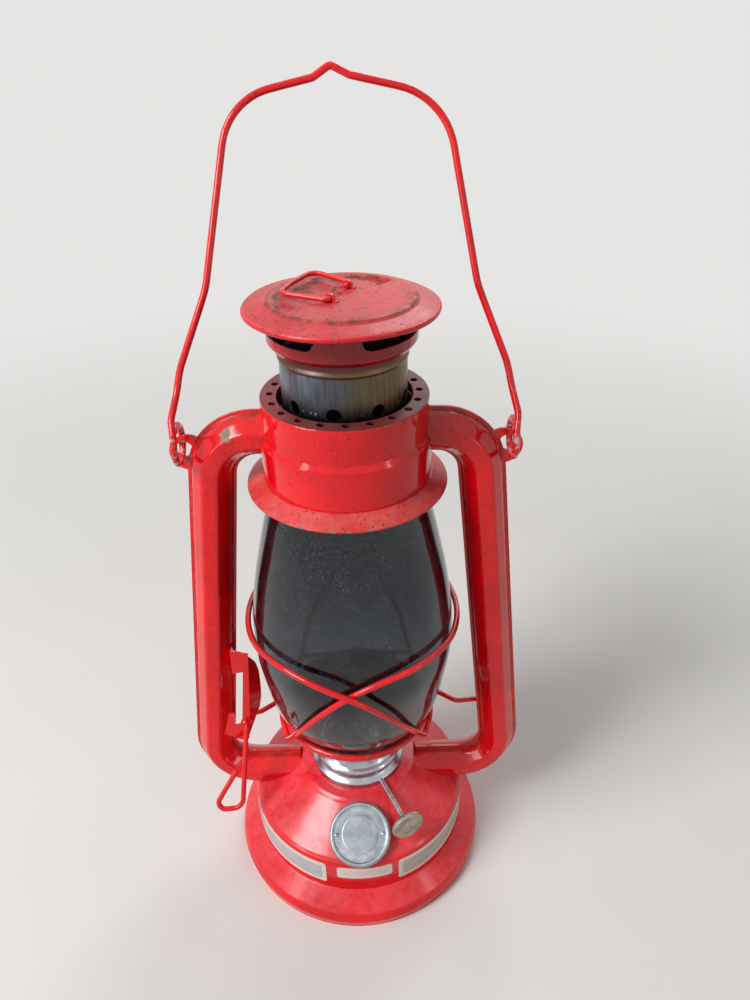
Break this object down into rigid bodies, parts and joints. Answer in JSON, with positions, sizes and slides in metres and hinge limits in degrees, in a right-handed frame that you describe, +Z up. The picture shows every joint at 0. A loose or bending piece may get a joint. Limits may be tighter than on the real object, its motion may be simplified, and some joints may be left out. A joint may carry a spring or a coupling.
{
  "type": "tubular kerosene lantern",
  "caption": "Tubular wick lantern: round tank with feed tubes, glass globe in a wire guard, vented hood, wire bail, globe lift lever, wick knob and screw filler cap.",
  "frame": {"origin": "centre of the foot where it rests", "axes": "+Z up, -Y toward the filler cap and wick knob, the two side tubes along X"},
  "size_m": [0.1676, 0.1314, 0.3723],
  "materials": {
    "red_enamel": "gloss enamel, sooty",
    "tinplate": "tinned sheet, lightly worn",
    "bare_steel": "drawn wire",
    "heated_steel": "heat-tinted sheet",
    "dull_plate": "dull plated",
    "clear_glass": "clear, dusty",
    "cotton": "woven",
    "rubber": "matt",
    "blank_plate": "blank, weathered"
  },
  "bodies": {
    "frame": {"tank_shell": "red_enamel", "tank_floor": "red_enamel", "foot_ring": "red_enamel", "filler_neck": "tinplate", "label_left": "blank_plate", "label_front": "blank_plate", "label_right": "blank_plate", "burner_collar": "tinplate", "burner_gallery": "tinplate", "flame_cone": "tinplate", "wick_tube": "tinplate", "left_tube_front": "red_enamel", "left_tube_rear": "red_enamel", "right_tube_front": "red_enamel", "right_tube_rear": "red_enamel", "crown_shell": "red_enamel", "crown_ring": "red_enamel", "crown_skirt": "red_enamel", "lever_bracket": "red_enamel", "canopy_spring": "bare_steel"},
    "cap_ring": {"cap_gasket": "rubber"},
    "cap": {"filler_cap": "tinplate"},
    "wick_drive": {"wick_shaft": "bare_steel", "star_wheels": "bare_steel", "wick_knob": "dull_plate"},
    "wick_strip": {"wick": "cotton"},
    "globe_cage": {"globe": "clear_glass", "globe_plate": "red_enamel", "lift_tongue": "red_enamel", "guard_hoop_right": "red_enamel", "guard_hoop_left": "red_enamel"},
    "canopy": {"chimney": "heated_steel", "bell": "bare_steel", "hood_drum": "red_enamel", "hood_plate": "red_enamel", "ring_clips": "red_enamel"},
    "lift_ring": {"hood_ring": "red_enamel"},
    "bail": {"bail": "red_enamel"},
    "lever": {"lift_lever": "red_enamel"}
  },
  "joints": [
    {"name": "cap_lift", "type": "slide", "parent": "frame", "child": "cap_ring", "axis": [0, -0.5299, 0.848], "range_m": [0, 0.003]},
    {"name": "cap_turn", "type": "hinge", "parent": "cap_ring", "child": "cap", "pos_m": [0.0006, -0.0461, 0.0484], "axis": [0, -0.5299, 0.848], "range_deg": [0, 545]},
    {"name": "wick_turn", "type": "hinge", "parent": "frame", "child": "wick_drive", "pos_m": [0.00181, 0.00085, 0.0555], "axis": [0.4226, -0.9063, 0], "range_deg": [-92, 182]},
    {"name": "wick_raise", "type": "slide", "parent": "frame", "child": "wick_strip", "axis": [0, 0, 1], "range_m": [-0.0119, 0.0059]},
    {"name": "cage_slide", "type": "slide", "parent": "frame", "child": "globe_cage", "axis": [0, 0, 1], "range_m": [0, 0.012]},
    {"name": "lever_turn", "type": "hinge", "parent": "frame", "child": "lever", "pos_m": [-0.0555, -0.0076, 0.0868], "axis": [0.9938, 0.1106, -0.015], "range_deg": [0, 16.5]},
    {"name": "canopy_slide", "type": "slide", "parent": "globe_cage", "child": "canopy", "axis": [0, 0, 1], "range_m": [0, 0.011], "stiffness_N_per_m": 120, "springref_m": -0.01, "deforming": ["canopy_spring"]},
    {"name": "hood_ring_swing", "type": "hinge", "parent": "canopy", "child": "lift_ring", "pos_m": [-0.0044, -0.0092, 0.3033], "axis": [0.3673, 0.9301, 0], "range_deg": [0, 150]},
    {"name": "bail_swing", "type": "hinge", "parent": "frame", "child": "bail", "pos_m": [0, -0.0053, 0.2454], "axis": [1, 0, 0], "range_deg": [-121, 147]}
  ],
  "couplings": [
    {"joint": "cap_turn", "follows": "cap_lift", "rad_per_m": 3141.6},
    {"joint": "wick_turn", "follows": "wick_raise", "rad_per_m": -263.16},
    {"joint": "lever_turn", "follows": "cage_slide", "rad_per_m": 23.9}
  ]
}
